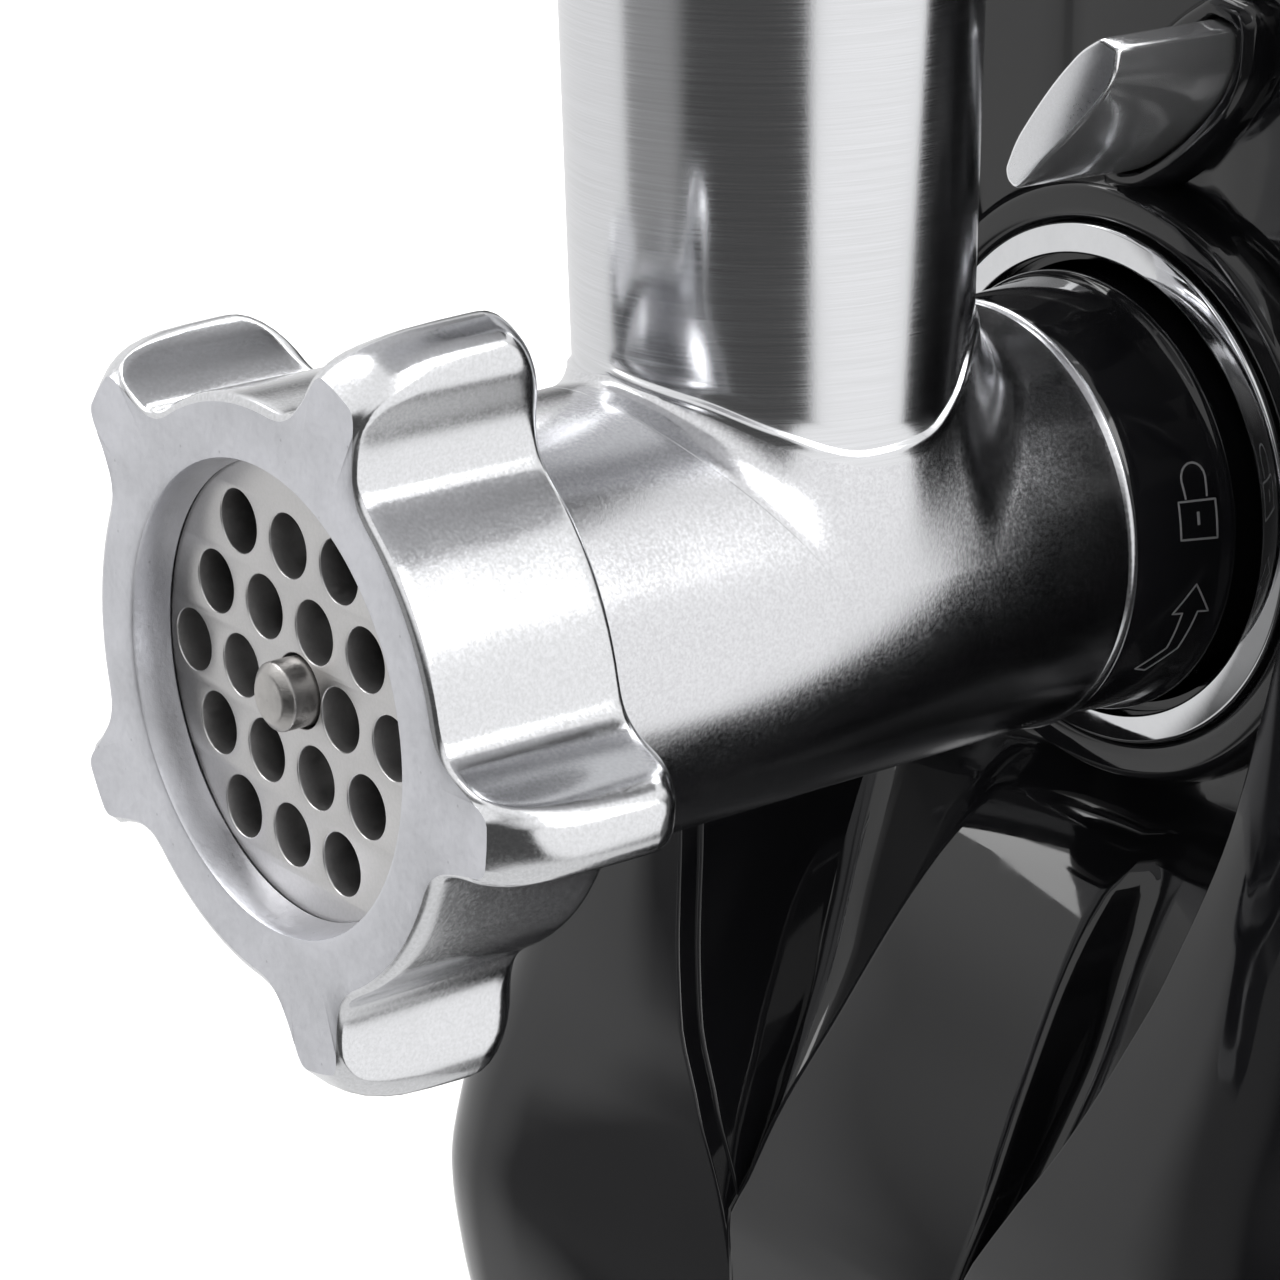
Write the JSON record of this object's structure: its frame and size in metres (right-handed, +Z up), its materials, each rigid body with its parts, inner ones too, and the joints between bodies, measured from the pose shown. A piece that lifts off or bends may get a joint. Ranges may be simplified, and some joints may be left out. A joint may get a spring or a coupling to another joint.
{
  "type": "electric meat grinder",
  "caption": "Electric meat grinder: metal screw-feed head with lugged ring nut, plate, feed tube, hopper tray and pusher on a geared motor in a gloss housing.",
  "frame": {"origin": "centre of the overall bounding box in plan, at the level of the feet's undersides", "axes": "+Z up, -Y towards the ring nut and the user, +Y towards the back of the housing, +X to the right seen from the front"},
  "size_m": [0.19, 0.291, 0.331],
  "materials": {
    "ring_nut": "satin cast",
    "cutting_plate": "satin",
    "plate_key": "satin",
    "knife": "satin",
    "head_casting": "polished",
    "auger": "satin cast",
    "thrust_washer": "natural moulded",
    "auger_hex_drive": "satin",
    "hopper_tray": "polished",
    "pusher": "satin black",
    "pusher_cap": "satin black",
    "lock_sleeve": "high gloss black",
    "head_socket": "satin black",
    "socket_ring": "bright plated",
    "lock_button": "bright plated",
    "lock_catch": "satin",
    "lock_spring": "satin",
    "front_cover": "high gloss black",
    "rear_cover": "high gloss black",
    "base_plate": "satin black",
    "foot_1": "matte",
    "foot_2": "matte",
    "foot_3": "matte",
    "foot_4": "matte",
    "base_screw_1": "satin",
    "base_screw_2": "satin",
    "base_screw_3": "satin",
    "base_screw_4": "satin",
    "output_gear": "natural moulded",
    "output_shaft": "satin",
    "second_gear": "natural moulded",
    "first_gear": "natural moulded",
    "second_pivot": "satin",
    "first_pivot": "satin",
    "gearbox_case": "satin black",
    "gearbox_cover": "satin black",
    "output_bearing": "satin",
    "motor_shaft": "satin",
    "rotor_core": "laminated steel",
    "commutator": "enamelled copper",
    "cooling_fan": "satin black",
    "stator_core": "laminated steel",
    "field_coil_right": "enamelled copper",
    "field_coil_left": "enamelled copper",
    "brush_holder_right": "natural moulded",
    "brush_holder_left": "natural moulded",
    "motor_front_bearing": "satin",
    "motor_rear_bearing": "satin",
    "motor_bracket": "satin",
    "circuit_board": "lacquered board",
    "power_inlet": "satin black",
    "control_panel": "high gloss black",
    "power_rocker": "satin black",
    "reverse_button": "bright plated",
    "rocker_switch": "natural moulded",
    "reverse_switch": "natural moulded",
    "reverse_spring": "satin"
  },
  "bodies": {
    "housing": {"head_socket": "head_socket", "socket_ring": "socket_ring", "front_cover": "front_cover", "rear_cover": "rear_cover", "base_plate": "base_plate", "foot_1": "foot_1", "foot_2": "foot_2", "foot_3": "foot_3", "foot_4": "foot_4", "base_screw_1": "base_screw_1", "base_screw_2": "base_screw_2", "base_screw_3": "base_screw_3", "base_screw_4": "base_screw_4", "second_pivot": "second_pivot", "first_pivot": "first_pivot", "gearbox_case": "gearbox_case", "gearbox_cover": "gearbox_cover", "output_bearing": "output_bearing", "stator_core": "stator_core", "field_coil_right": "field_coil_right", "field_coil_left": "field_coil_left", "brush_holder_right": "brush_holder_right", "brush_holder_left": "brush_holder_left", "motor_front_bearing": "motor_front_bearing", "motor_rear_bearing": "motor_rear_bearing", "motor_bracket": "motor_bracket", "circuit_board": "circuit_board", "power_inlet": "power_inlet", "control_panel": "control_panel", "rocker_switch": "rocker_switch", "reverse_switch": "reverse_switch"},
    "lock_button": {"lock_button": "lock_button", "lock_catch": "lock_catch", "lock_spring": "lock_spring"},
    "power_rocker": {"power_rocker": "power_rocker"},
    "reverse_button": {"reverse_button": "reverse_button", "reverse_spring": "reverse_spring"},
    "output": {"output_gear": "output_gear", "output_shaft": "output_shaft"},
    "second_gear": {"second_gear": "second_gear"},
    "first_gear": {"first_gear": "first_gear"},
    "rotor": {"motor_shaft": "motor_shaft", "rotor_core": "rotor_core", "commutator": "commutator", "cooling_fan": "cooling_fan"},
    "lock_sleeve": {"lock_sleeve": "lock_sleeve"},
    "head": {"head_casting": "head_casting", "plate_key": "plate_key", "cutting_plate": "cutting_plate"},
    "ring_nut": {"ring_nut": "ring_nut"},
    "auger": {"auger": "auger", "knife": "knife", "thrust_washer": "thrust_washer", "auger_hex_drive": "auger_hex_drive"},
    "tray": {"hopper_tray": "hopper_tray"},
    "pusher": {"pusher": "pusher", "pusher_cap": "pusher_cap"}
  },
  "joints": [
    {"name": "head_turn", "type": "hinge", "parent": "housing", "child": "lock_sleeve", "pos_m": [0, -0.0145, 0.155], "axis": [0, 1, 0], "range_deg": [0, 30]},
    {"name": "head_pull", "type": "slide", "parent": "lock_sleeve", "child": "head", "axis": [0, -1, 0], "range_m": [0, 0.06]},
    {"name": "ring_nut_turn", "type": "hinge", "parent": "head", "child": "ring_nut", "pos_m": [0, -0.1205, 0.155], "axis": [0, -1, 0], "range_deg": [0, 360]},
    {"name": "auger_spin", "type": "hinge", "parent": "head", "child": "auger", "pos_m": [0, -0.0705, 0.155], "axis": [0, 1, 0], "continuous": true},
    {"name": "tray_lift", "type": "slide", "parent": "head", "child": "tray", "axis": [0, 0, 1], "range_m": [0, 0.05]},
    {"name": "pusher_slide", "type": "slide", "parent": "tray", "child": "pusher", "axis": [0, 0, 1], "range_m": [0, 0.11]},
    {"name": "rotor_spin", "type": "hinge", "parent": "housing", "child": "rotor", "pos_m": [-0.01318, 0.0895, 0.07993], "axis": [0, 1, 0], "continuous": true},
    {"name": "first_gear_spin", "type": "hinge", "parent": "housing", "child": "first_gear", "pos_m": [0.018, 0.0395, 0.06193], "axis": [0, 1, 0], "continuous": true},
    {"name": "second_gear_spin", "type": "hinge", "parent": "housing", "child": "second_gear", "pos_m": [0.018, 0.0295, 0.10568], "axis": [0, 1, 0], "continuous": true},
    {"name": "output_spin", "type": "hinge", "parent": "housing", "child": "output", "pos_m": [0, 0.0245, 0.155], "axis": [0, 1, 0], "continuous": true},
    {"name": "lock_button_press", "type": "slide", "parent": "housing", "child": "lock_button", "axis": [0, 1, 0], "range_m": [0, 0.005], "stiffness_N_per_m": 400, "springref_m": -0.002, "deforming": ["lock_spring"]},
    {"name": "power_rocker_tilt", "type": "hinge", "parent": "housing", "child": "power_rocker", "pos_m": [0.069, 0.0875, 0.167], "axis": [0, 0, 1], "range_deg": [-8, 8]},
    {"name": "reverse_button_press", "type": "slide", "parent": "housing", "child": "reverse_button", "axis": [-1, 0, 0], "range_m": [0, 0.003], "stiffness_N_per_m": 400, "springref_m": -0.001, "deforming": ["reverse_spring"]}
  ],
  "couplings": [
    {"joint": "first_gear_spin", "follows": "rotor_spin", "ratio": -0.2},
    {"joint": "second_gear_spin", "follows": "rotor_spin", "ratio": 0.05},
    {"joint": "output_spin", "follows": "rotor_spin", "ratio": -0.0125},
    {"joint": "auger_spin", "follows": "rotor_spin", "ratio": -0.0125}
  ]
}
